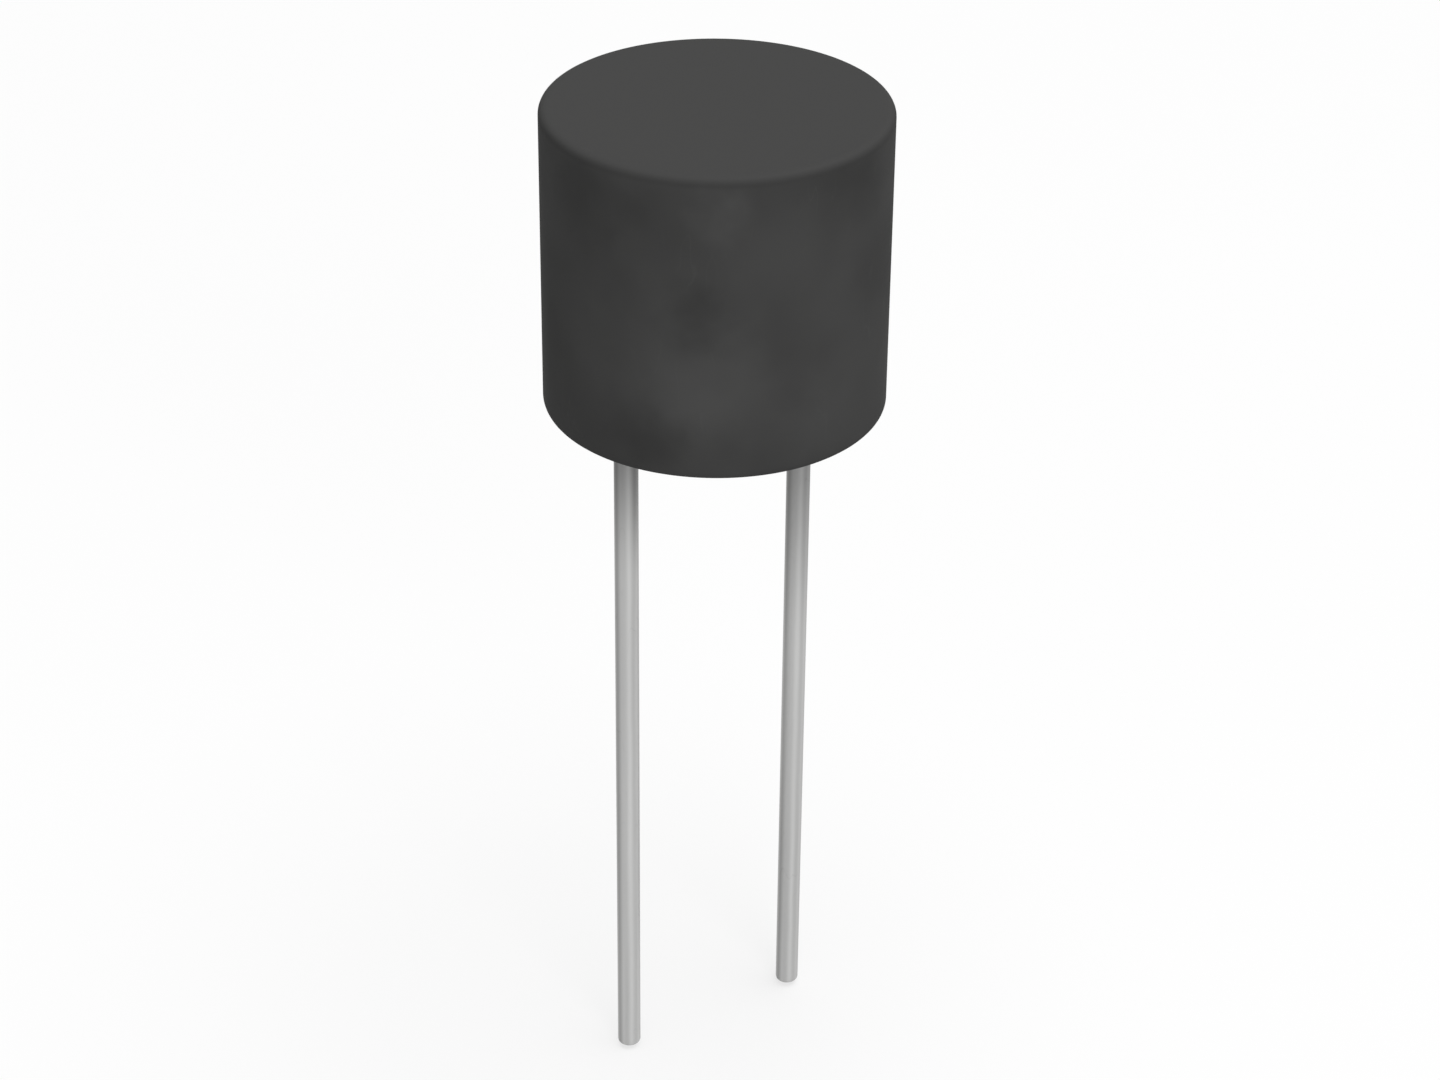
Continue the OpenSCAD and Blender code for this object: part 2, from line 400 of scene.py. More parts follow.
class Tree:
    """Short names for the nodes that the finishes are built from."""

    def __init__(self, tree):
        self.tree = tree
        tree.nodes.clear()

    def add(self, kind, inputs=None, **settings):
        node = self.tree.nodes.new(f"ShaderNode{kind}")
        for name, value in settings.items():
            setattr(node, name, value)
        for name, value in (inputs or {}).items():
            self.feed(node.inputs[name], value)
        return node

    def feed(self, socket, value):
        if isinstance(value, bpy.types.NodeSocket):
            self.tree.links.new(value, socket)
        else:
            socket.default_value = value

    def use_effect(self, name, inputs):
        return self.add("Group", inputs, node_tree=effect_group(name)).outputs

    def moulded(self, place, grains, clouds):
        return self.use_effect("Moulded Grain", {
            "Place": place, "Grains per mm": grains, "Clouds per mm": clouds})

    def drawn(self, place, lines, bands, stretch):
        return self.use_effect("Drawn Lines", {
            "Place": place, "Lines per mm": lines, "Bands per mm": bands, "Stretch": stretch})

    def handled(self, place, specks, size, scuffs):
        return self.use_effect("Handling Marks", {
            "Place": place, "Specks per mm": specks, "Speck Size": size, "Scuffs per mm": scuffs})

    def patch(self, place, centre, reach, tone):
        """The tone of a soft patch."""
        effect = self.use_effect("Soft Patch", {"Place": place, "Centre": centre, "Reach": reach})
        return self.times(effect["Patch"], tone)

    def place(self):
        """Object coordinates, in millimetres."""
        where = self.add("TexCoord").outputs["Object"]
        return self.scaled(where, (PER_MM, PER_MM, PER_MM))

    def split(self, vector):
        return self.add("SeparateXYZ", {0: vector}).outputs

    def joined(self, x, y, z):
        return self.add("CombineXYZ", {"X": x, "Y": y, "Z": z}).outputs["Vector"]

    def vector(self, operation, first, second):
        node = self.add("VectorMath", {0: first, 1: second}, operation=operation)
        return node.outputs["Vector"]

    def scaled(self, vector, factors):
        return self.vector("MULTIPLY", vector, factors)

    def length_of(self, vector):
        return self.add("VectorMath", {0: vector}, operation="LENGTH").outputs["Value"]

    def brighten(self, colour, factor):
        """A plain colour times a factor."""
        node = self.add("VectorMath", {0: tuple(colour), "Scale": factor}, operation="SCALE")
        return node.outputs["Vector"]

    def math(self, operation, first, second=0.0):
        node = self.add("Math", {0: first, 1: second}, operation=operation)
        return node.outputs["Value"]

    def times(self, first, second):
        return self.math("MULTIPLY", first, second)

    def less(self, first, second):
        return self.math("SUBTRACT", first, second)

    def total(self, *values):
        result = values[0]
        for value in values[1:]:
            result = self.math("ADD", result, value)
        return result

    def swing(self, mask, width):
        """A mask's swing about its middle, brought to a width."""
        return self.times(self.less(mask, 0.5), width)

    def ramp(self, value, from_low, from_high, to_low=0.0, to_high=1.0, smooth=True):
        node = self.add("MapRange", {
            "Value": value, "From Min": from_low, "From Max": from_high,
            "To Min": to_low, "To Max": to_high,
        }, interpolation_type="SMOOTHSTEP" if smooth else "LINEAR")
        return node.outputs["Result"]

    def noise(self, place, scale, detail=2.0, roughness=0.5):
        node = self.add("TexNoise", {
            "Vector": place, "Scale": scale, "Detail": detail, "Roughness": roughness,
        })
        return node.outputs["Fac"]

    def blend(self, factor, first, second):
        """A mix of two colours."""
        node = self.add("Mix", data_type="RGBA")
        self.feed(node.inputs["Factor"], factor)
        colours = [socket for socket in node.inputs if socket.type == "RGBA"]
        self.feed(colours[0], first)
        self.feed(colours[1], second)
        return next(socket for socket in node.outputs if socket.type == "RGBA")

    def relief(self, height, depth):
        """The normals of a relief of a depth."""
        node = self.add("Bump", {"Height": height, "Distance": depth, "Strength": 1.0})
        return node.outputs["Normal"]


def effect_group(name):
    """The node group of a shared effect, built once."""
    if name not in bpy.data.node_groups:
        EFFECTS[name](bpy.data.node_groups.new(name, "ShaderNodeTree"))
    return bpy.data.node_groups[name]


def group_sockets(group, inputs, outputs):
    """Give a group its named sockets: places, centres and reaches are vectors, the rest numbers."""
    for way, names in (("INPUT", inputs), ("OUTPUT", outputs)):
        for name in names:
            kind = "Vector" if name in ("Place", "Centre", "Reach") else "Float"
            group.interface.new_socket(name, in_out=way, socket_type=f"NodeSocket{kind}")
    tree = Tree(group)
    given = group.nodes.new("NodeGroupInput").outputs
    return tree, given, group.nodes.new("NodeGroupOutput").inputs


USUAL = (0.3, 0.7)  # most of a noise lies between these
SPECK_LEVEL = 0.6  # a cell holds a speck where its noise is higher than this
SCUFF_STRETCH = (1.0, 1.0, 0.25)  # scuffs are drawn out along the height
SCUFF_HALF_WIDTH = 0.012  # half the width of a scuff, as a share of its noise's range
SCUFFED = (0.55, 0.7)  # scuffs start and are full where their region's noise is this high


def build_moulded_grain(group):
    """The fine texture that a spark-eroded mould leaves, and broad clouds in the plastic's tone."""
    tree, given, result = group_sockets(
        group, ("Place", "Grains per mm", "Clouds per mm"), ("Height", "Cloud"))
    fine = tree.noise(given["Place"], given["Grains per mm"], detail=3.0, roughness=0.6)
    cloud = tree.noise(given["Place"], given["Clouds per mm"], detail=2.0, roughness=0.45)
    tree.feed(result["Height"], fine)
    tree.feed(result["Cloud"], tree.ramp(cloud, *USUAL))


def build_soft_patch(group):
    """A soft-edged patch round a centre: 1 at the centre and 0 past its reach."""
    tree, given, result = group_sockets(group, ("Place", "Centre", "Reach"), ("Patch",))
    offset = tree.vector("SUBTRACT", given["Place"], given["Centre"])
    share_of_reach = tree.vector("DIVIDE", offset, given["Reach"])
    tree.feed(result["Patch"], tree.ramp(tree.length_of(share_of_reach), 1.0, 0.0))


def build_drawn_lines(group):
    """Fine lines along a drawn wire, and broader bands in its plating."""
    tree, given, result = group_sockets(
        group, ("Place", "Lines per mm", "Bands per mm", "Stretch"), ("Height", "Band"))
    squeeze = tree.math("DIVIDE", 1.0, given["Stretch"])
    along = tree.scaled(given["Place"], tree.joined(1.0, 1.0, squeeze))
    tree.feed(result["Height"], tree.noise(along, given["Lines per mm"], detail=3.0, roughness=0.6))
    tree.feed(result["Band"], tree.ramp(tree.noise(along, given["Bands per mm"]), *USUAL))


def build_handling_marks(group):
    """Specks of dust and short faint scuffs."""
    tree, given, result = group_sockets(
        group, ("Place", "Specks per mm", "Speck Size", "Scuffs per mm"), ("Dust", "Scuff"))
    cells = tree.add("TexVoronoi", {"Vector": given["Place"], "Scale": given["Specks per mm"]})
    chance = tree.noise(cells.outputs["Position"], scale=3.1)
    present = tree.math("GREATER_THAN", chance, SPECK_LEVEL)
    speck = tree.ramp(cells.outputs["Distance"], given["Speck Size"], 0.0)
    tree.feed(result["Dust"], tree.times(speck, present))
    threads = tree.noise(tree.scaled(given["Place"], SCUFF_STRETCH), given["Scuffs per mm"])
    from_middle = tree.math("ABSOLUTE", tree.less(threads, 0.5))
    line = tree.ramp(from_middle, SCUFF_HALF_WIDTH, 0.0)
    region = tree.ramp(tree.noise(given["Place"], scale=0.6), *SCUFFED)
    tree.feed(result["Scuff"], tree.times(line, region))


EFFECTS = {
    "Moulded Grain": build_moulded_grain,
    "Soft Patch": build_soft_patch,
    "Drawn Lines": build_drawn_lines,
    "Handling Marks": build_handling_marks,
}


def new_material(name):
    material = bpy.data.materials.new(name)
    material.use_nodes = True
    return material, Tree(material.node_tree)


def shade(tree, colour, tone, roughness, normal, **more):
    """Give a finish its shader: a plain colour times a tone, its roughness and its relief."""
    shader = tree.add("BsdfPrincipled", {
        "Base Color": tree.brighten(colour, tone), "Roughness": roughness, "Normal": normal, **more})
    tree.add("OutputMaterial", {"Surface": shader.outputs["BSDF"]})


# ---- finishes ----

# How deep the fine relief of each finish goes.
MOULD_RELIEF = 0.0015 * MM
DRAWN_RELIEF = 0.0006 * MM
FIBRE_RELIEF = 0.003 * MM
WIRE_RELIEF = 0.0004 * MM
FROST_RELIEF = 0.004 * MM

DUST_TONE = 0.3  # a speck of dust is this much paler
SCUFF_TONE = 0.08  # a scuff is this much paler on the can and darker on a lead

# Painted reflections and shade on the cap's side: soft patches, the pale ones painted reflections and the
# dark ones painted shade. Each: angle round the can in degrees, height, width and reach in mm, tone.
SHEEN_AND_SHADE_MARKS = (
    (-160, 6.7, 2.2, 1.6, -0.18),
    (-137, 3.2, 2.6, 2.4, 0.22),
    (-147, 0.7, 1.5, 1.2, -0.14),
    (-127, 4.4, 1.0, 1.3, -0.24),
    (-121, 7.0, 1.0, 1.3, 0.26),
    (-119, 2.0, 2.2, 1.8, 0.14),
    (-92, 1.4, 1.6, 1.4, 0.14),
    (-73, 7.0, 2.0, 1.4, -0.16),
)
DRIFTS_PER_MM = 0.9  # scale of the noise that bends the outlines of these marks
DRIFT = (1.6, 1.6, 1.6)  # how far it carries them, in mm
CLOUD_TONE = 0.2  # from the darkest to the palest cloud
SIDE_STARTS, SIDE_FULL = 0.02, 0.3  # how far below the top the side's tones start and are full, in mm
EDGE_SHADE_TONE = -0.12  # painted shade: the round top edge is this much darker
# Where the painted shade on the top edge starts and is full, in mm out and up from the centre of the top
# edge's round.
EDGE_OUT = (0.1, 0.2)
EDGE_UP = (-0.1, 0.06)
CAP_ROUGHNESS = 0.82
GRAIN_ROUGHNESS = 0.12  # from the smoothest to the roughest grain
SHEEN_ROUGHNESS = -0.15  # a paler mark is smoother, by this share of its tone


def cap_material(finish, cap):
    material, tree = new_material("can plastic")
    place = tree.place()
    drift = tree.add("TexNoise", {"Vector": place, "Scale": DRIFTS_PER_MM, "Detail": 2.0})
    wander = tree.vector("SUBTRACT", drift.outputs["Color"], (0.5, 0.5, 0.5))
    wandered = tree.vector("ADD", place, tree.scaled(wander, DRIFT))
    grain = tree.moulded(place, grains=22.0, clouds=0.35)
    marks = tree.handled(place, specks=2.0, size=0.035, scuffs=1.4)
    radius = cap.radius * PER_MM
    tones = []
    # Painted reflections where a patch is pale, painted shade where it is dark.
    for angle, high, width, reach, tone in SHEEN_AND_SHADE_MARKS:
        turned = radians(angle)
        centre = (radius * cos(turned), radius * sin(turned), high)
        tones.append(tree.patch(wandered, centre, (width, width, reach), tone))
    sheen_and_shade = tree.total(*tones)
    level = tree.split(place)["Z"]
    top = cap.height * PER_MM
    on_side = tree.ramp(level, top - SIDE_STARTS, top - SIDE_FULL)
    side = tree.times(tree.total(sheen_and_shade, tree.swing(grain["Cloud"], CLOUD_TONE)), on_side)
    # Painted shade on the round top edge.
    edge = shaded_top_edge(tree, place, level, cap)
    tone = tree.total(1.0, edge, side, tree.times(marks["Dust"], DUST_TONE),
                      tree.times(marks["Scuff"], SCUFF_TONE))
    roughness = tree.total(CAP_ROUGHNESS, tree.swing(grain["Height"], GRAIN_ROUGHNESS),
                           tree.times(sheen_and_shade, SHEEN_ROUGHNESS))
    normal = tree.relief(grain["Height"], MOULD_RELIEF)
    shade(tree, finish.cap_colour, tone, roughness, normal, **{"Specular IOR Level": 0.03})
    return material


def shaded_top_edge(tree, place, level, cap):
    """The painted shade on the cap's round top edge."""
    from_axis = tree.length_of(tree.scaled(place, (1.0, 1.0, 0.0)))
    out = tree.less(from_axis, (cap.radius - cap.top_round) * PER_MM)
    up = tree.less(level, (cap.height - cap.top_round) * PER_MM)
    return tree.times(tree.ramp(up, *EDGE_UP), tree.times(tree.ramp(out, *EDGE_OUT), EDGE_SHADE_TONE))


BASE_DARKEST = 0.92  # tone of the base's darkest clouds
BASE_CLOUD_TONE = 0.16  # from the darkest to the palest cloud


def base_material(finish):
    material, tree = new_material("base plastic")
    place = tree.place()
    grain = tree.moulded(place, grains=16.0, clouds=0.5)
    marks = tree.handled(place, specks=2.0, size=0.05, scuffs=1.4)
    tone = tree.total(BASE_DARKEST, tree.times(grain["Cloud"], BASE_CLOUD_TONE),
                      tree.times(marks["Dust"], DUST_TONE))
    roughness = tree.ramp(grain["Height"], 0.2, 0.8, to_low=0.5, to_high=0.62, smooth=False)
    normal = tree.relief(grain["Height"], MOULD_RELIEF)
    shade(tree, finish.base_colour, tone, roughness, normal, **{"Specular IOR Level": 0.35})
    return material


# Painted reflections along a lead: pale and dark stripes that stand in for what the round wire mirrors.
# Each: angle round its axis in degrees, width in mm, tone.
REFLECTION_BANDS = (
    (-176, 0.15, -0.34),
    (-111, 0.11, 0.17),
    (-68, 0.1, 0.12),
    (20, 0.12, -0.2),
    (95, 0.14, 0.14),
)
WAVERS_PER_MM = 0.5  # scale of the noise that makes these marks waver
WAVER = 0.06  # how far they waver, in mm
# Painted shade below the body, where the can shades the leads: reach in mm on each lead, and how much
# darker it starts.
BODY_SHADE_REACH = {LEFT: 4.4, RIGHT: 8.6}
BODY_SHADE_TONE = 0.62
# Painted shade: a darker streak on the left lead near the body: its centre and reach in mm from the lead's
# axis, and its tone.
SHADE_LINE_CENTRE = (0.08, -0.29, -1.2)
SHADE_LINE_REACH = (0.14, 0.14, 3.4)
SHADE_LINE_TONE = -0.3
TIN_TONE = 0.94  # the plating's tone between its bands
BAND_TONE = 0.1  # a band is this much paler
TIN_ROUGHNESS = 0.42
LINE_ROUGHNESS = 0.12  # from the smoothest to the roughest of the drawn lines
DUST_ROUGHNESS = 0.2  # a speck of dust is this much rougher


def tin_material(finish, lead):
    material, tree = new_material("tinned copper")
    place = tree.place()
    lines = tree.drawn(place, lines=14.0, bands=3.0, stretch=30.0)
    marks = tree.handled(place, specks=3.0, size=0.05, scuffs=2.0)
    apart = tree.split(place)
    side = tree.math("SIGN", apart["X"])
    half_pitch = lead.pitch / 2 * PER_MM
    tones = [tree.times(lines["Band"], BAND_TONE), tree.times(marks["Scuff"], -SCUFF_TONE)]
    # Painted reflections: pale and dark stripes along the lead.
    tones += reflection_band_tones(tree, place, apart, tree.times(side, half_pitch), lead.radius * PER_MM)
    from_left = tree.joined(tree.total(apart["X"], half_pitch), apart["Y"], apart["Z"])
    # Painted shade: a darker streak on the left lead.
    tones.append(tree.patch(from_left, SHADE_LINE_CENTRE, SHADE_LINE_REACH, SHADE_LINE_TONE))
    # Painted shade below the body.
    bright = tree.less(1.0, shade_below_body(tree, apart["Z"], side))
    tone = tree.times(tree.total(TIN_TONE, *tones), bright)
    roughness = tree.total(TIN_ROUGHNESS, tree.times(lines["Height"], LINE_ROUGHNESS),
                           tree.times(marks["Dust"], DUST_ROUGHNESS))
    normal = tree.relief(lines["Height"], DRAWN_RELIEF)
    shade(tree, finish.tin_colour, tone, roughness, normal, Metallic=1.0)
    return material


def reflection_band_tones(tree, place, apart, axis, radius):
    """The tones of the painted reflections that run along a lead, which stands at an axis."""
    waver = tree.times(tree.noise(place, WAVERS_PER_MM), WAVER)
    from_axis = tree.total(tree.less(apart["X"], axis), waver)
    round_axis = tree.joined(from_axis, apart["Y"], 0.0)
    tones = []
    for angle, width, tone in REFLECTION_BANDS:
        turned = radians(angle)
        centre = (radius * cos(turned) + WAVER / 2, radius * sin(turned), 0.0)
        tones.append(tree.patch(round_axis, centre, (width, width, 1.0), tone))
    return tones


def shade_below_body(tree, level, side):
    """Painted shade below the body: how much darker the lead at a side is."""
    middle = (BODY_SHADE_REACH[LEFT] + BODY_SHADE_REACH[RIGHT]) / 2
    half = (BODY_SHADE_REACH[RIGHT] - BODY_SHADE_REACH[LEFT]) / 2
    reach = tree.total(middle, tree.times(side, half))
    depth = tree.math("DIVIDE", tree.times(level, -1.0), reach)
    return tree.ramp(depth, 0.0, 1.0, BODY_SHADE_TONE, 0.0)


FIBRE_STRETCH = (0.12, 1.0, 1.0)  # fibres are drawn out along the strand


def glass_material(finish):
    material, tree = new_material("glass fibre")
    drawn_out = tree.scaled(tree.place(), FIBRE_STRETCH)
    fibres = tree.noise(drawn_out, scale=60.0, detail=3.0, roughness=0.65)
    tone = tree.ramp(fibres, 0.25, 0.75, to_low=0.82, to_high=1.05)
    roughness = tree.ramp(fibres, *USUAL, to_low=0.5, to_high=0.68, smooth=False)
    shade(tree, finish.glass_colour, tone, roughness, tree.relief(fibres, FIBRE_RELIEF))
    return material


def element_material(finish):
    material, tree = new_material("element wire")
    lines = tree.drawn(tree.place(), lines=60.0, bands=6.0, stretch=1.0)
    tone = tree.ramp(lines["Band"], 0.0, 1.0, to_low=0.85, to_high=1.08)
    roughness = tree.ramp(lines["Height"], 0.2, 0.8, to_low=0.24, to_high=0.36, smooth=False)
    normal = tree.relief(lines["Height"], WIRE_RELIEF)
    shade(tree, finish.wire_colour, tone, roughness, normal, Metallic=1.0)
    return material


def solder_material(finish):
    material, tree = new_material("solder")
    place = tree.place()
    frost = tree.noise(place, scale=9.0, detail=4.0, roughness=0.6)
    pool = tree.noise(place, scale=1.6, detail=1.0)
    tone = tree.ramp(frost, 0.25, 0.75, to_low=0.88, to_high=1.04)
    roughness = tree.ramp(pool, 0.35, 0.65, to_low=0.18, to_high=0.42)
    normal = tree.relief(frost, FROST_RELIEF)
    shade(tree, finish.solder_colour, tone, roughness, normal, Metallic=1.0)
    return material


def seen_ray(tree):
    """1 for a ray that shows the stage to the camera, to metal or to glass, and 0 for light."""
    path = tree.add("LightPath").outputs
    mirrored = tree.math("MAXIMUM", path["Is Glossy Ray"], path["Is Transmission Ray"])
    return tree.math("MAXIMUM", path["Is Camera Ray"], mirrored)


def floor_material(stage):
    """A floor that looks pale, throws little light back and can't be seen from below."""
    material, tree = new_material("pale floor")
    clouds = tree.noise(tree.place(), scale=0.02)
    mottle = tree.ramp(clouds, *USUAL, to_low=0.996, to_high=1.0)
    look = tree.brighten(stage.floor_colour, mottle)
    bounce = tree.brighten(stage.floor_bounce, mottle)
    seen = seen_ray(tree)
    diffuse = tree.add("BsdfDiffuse", {
        "Color": tree.blend(seen, bounce, look)}).outputs["BSDF"]
    white = tree.add("Emission", {
        "Color": tree.brighten(stage.white, mottle)}).outputs["Emission"]
    evened = tree.add("MixShader", {
        0: tree.times(seen, stage.floor_evenness), 1: diffuse, 2: white}).outputs["Shader"]
    clear = tree.add("BsdfTransparent").outputs["BSDF"]
    backface = tree.add("NewGeometry").outputs["Backfacing"]
    mix = tree.add("MixShader", {0: backface, 1: evened, 2: clear})
    tree.add("OutputMaterial", {"Surface": mix.outputs["Shader"]})
    return material


# ---- pieces ----

class FUSE_OT_cap(bpy.types.Operator):
    """Model the moulded cap: a cup with a rounded top edge, open at the board"""
    bl_idname = "fuse.cap"
    bl_label = "Cap"
    bl_options = {"REGISTER", "UNDO"}

    def execute(self, context):
        cap, base = context.scene.fuse_cap, context.scene.fuse_base
        ledge = base.sink + base.height
        ceiling = cap.height - cap.roof
        groove = base.sink + base.bead_rise
        shell = start_cylinder("cap_shell", cap.radius, 0.0, cap.height, cap.steps)
        pick_end(0.0, -1)
        raise_face(0.0, cap.bore_radius / cap.radius)
        raise_face(ledge)
        raise_face(0.0, cap.cavity_radius / cap.bore_radius)
        raise_face(ceiling - ledge)
        push_half_round(cap.bore_radius, 0.0, ledge, groove, cap.groove_radius)
        for held in (cap.rim_round + HOLD, cap.height - cap.top_round - HOLD):
            cut_ring(cap.radius, 0.0, cap.height, held)
        bevel_rings(
            (cap.radius, cap.height, cap.top_round, 10),
            (cap.radius, 0.0, cap.rim_round, 8),
            (cap.bore_radius, 0.0, cap.rim_chamfer, 1),
            (cap.cavity_radius, ceiling, cap.cavity_round, 8))
        hold_end(cap.height, 1)
        leave_editing()
        finish_piece(shell, "cap", cap_material(context.scene.fuse_finish, cap))
        return {"FINISHED"}


class FUSE_OT_leads(bpy.types.Operator):
    """Model the round tinned leads with their flattened, slotted heads"""
    bl_idname = "fuse.leads"
    bl_label = "Leads"
    bl_options = {"REGISTER", "UNDO"}

    def execute(self, context):
        lead, base = context.scene.fuse_leads, context.scene.fuse_base
        wire = start_cylinder("lead_right_wire", lead.radius, LEAD_LOW.z, base.sink, lead.steps)
        for held in (LEAD_LOW.z + lead.tip_round + HOLD, base.sink - HOLD):
            cut_ring(lead.radius, LEAD_LOW.z, base.sink, held)
        bevel_rings((lead.radius, LEAD_LOW.z, lead.tip_round, 4))
        hold_end(LEAD_LOW.z, -1, HOLD / 2)
        self.flatten_head(lead, base)
        leave_editing()
        self.cut_slot(wire, lead)
        wires = {RIGHT: wire, LEFT: copy_of(wire, "lead_left_wire")}
        tin = tin_material(context.scene.fuse_finish, lead)
        for side, node in ((LEFT, "lead_left"), (RIGHT, "lead_right")):
            wires[side].data.transform(Matrix.Translation((side * lead.pitch / 2, 0.0, 0.0)))
            finish_piece(wires[side], node, tin)
        return {"FINISHED"}

    def flatten_head(self, lead, base):
        """Coin the wire's upper end between two flats; its narrow sides stay round."""
        pick_end(base.sink, 1)
        raise_face(lead.neck)
        stretch(1.0, lead.blade_width / 2 / lead.radius, 1.0)
        raise_face(LEAD_HIGH.z - base.sink - lead.neck)
        flat = lead.blade_thickness / 2
        foot = base.sink + lead.neck - NEAR
        for side in (LEFT, RIGHT):
            pick("VERT", lambda v: v.co.z > foot and v.co.x * side > flat)
            stretch(0.0, 1.0, 1.0, (side * flat, 0.0, 0.0))

    def cut_slot(self, wire, lead):
        """Cut the round-bottomed slot that the strand lies in."""
        deselect_all()
        bpy.ops.mesh.primitive_cylinder_add(
            vertices=lead.slot_steps, radius=lead.slot_radius, depth=2 * CUT,
            location=(0.0, 0.0, STRAND_LEVEL), rotation=(0.0, pi / 2, 0.0))
        saw = start_editing("slot_saw")
        bisect_level(STRAND_LEVEL, clear_outer=True, use_fill=True)
        pick_end(STRAND_LEVEL, 1)
        raise_face(LEAD_HIGH.z + CUT - STRAND_LEVEL)
        leave_editing()
        carve(wire, saw, "DIFFERENCE")
        throw_away(saw)


class FUSE_OT_base(bpy.types.Operator):
    """Model the plug that closes the cap and holds the leads"""
    bl_idname = "fuse.base"
    bl_label = "Base"
    bl_options = {"REGISTER", "UNDO"}

    def execute(self, context):
        base, lead = context.scene.fuse_base, context.scene.fuse_leads
        steps = context.scene.fuse_cap.steps
        top = base.sink + base.height
        recess = base.sink + base.gate_depth
        plug = start_cylinder("base_plug", base.radius, base.sink, top, steps)
        pick_end(base.sink, -1)
        held = base.gate_radius + base.gate_round + HOLD
        raise_face(0.0, held / base.radius)
        raise_face(0.0, base.gate_radius / held)
        raise_face(base.gate_depth)
        push_half_round(base.radius, base.sink, top, base.sink + base.bead_rise, base.bead_radius)
        bevel_rings(
            (base.radius, base.sink, base.chamfer, 1),
            (base.radius, top, base.chamfer, 1),
            (base.gate_radius, base.sink, base.gate_round, 4),
            (base.gate_radius, recess, base.gate_round, 4))
        hold_end(recess, -1)
        leave_editing()
        for part in self.collars_and_web(base, lead, top, steps):
            carve(plug, part, "UNION")
            throw_away(part)
        for wire in ("lead_left_wire", "lead_right_wire"):
            carve(plug, bpy.data.objects[wire], "DIFFERENCE")
        finish_piece(plug, "base", base_material(context.scene.fuse_finish))
        return {"FINISHED"}

    def collars_and_web(self, base, lead, top, steps):
        """The collar round each lead, trimmed at its outer flank, and the web between them."""
        bottom = top - base.chamfer
        flank = start_cylinder("collar_flank", base.flank_radius, base.sink, BASE_HIGH.z + CUT, steps)
        leave_editing()
        parts = []
        for side in (LEFT, RIGHT):
            collar = start_cylinder(f"collar_{side}", base.collar_radius, bottom, BASE_HIGH.z,
                                    base.collar_steps)
            bevel_rings((base.collar_radius, BASE_HIGH.z, base.collar_round, 5))
            hold_end(BASE_HIGH.z, 1, HOLD / 2)
            leave_editing()
            collar.data.transform(Matrix.Translation((side * lead.pitch / 2, 0.0, 0.0)))
            carve(collar, flank, "INTERSECT")
            parts.append(collar)
        throw_away(flank)
        deselect_all()
        low, high = bottom, top + base.web_height
        bpy.ops.mesh.primitive_cube_add(size=1, location=(0.0, 0.0, (low + high) / 2),
                                        scale=(lead.pitch, base.web_thickness, high - low))
        web = start_editing("web")
        leave_editing()
        return parts + [web]


# The solder creeps down in steps: share of the creep, and the width and depth that a step keeps.
CREEP_STEPS = ((0.3, 0.8, 0.98), (0.35, 0.82, 0.98), (0.35, 0.85, 0.99))
CREEP_FLATTEN = 0.3  # each step keeps this much of its height from the joint's foot


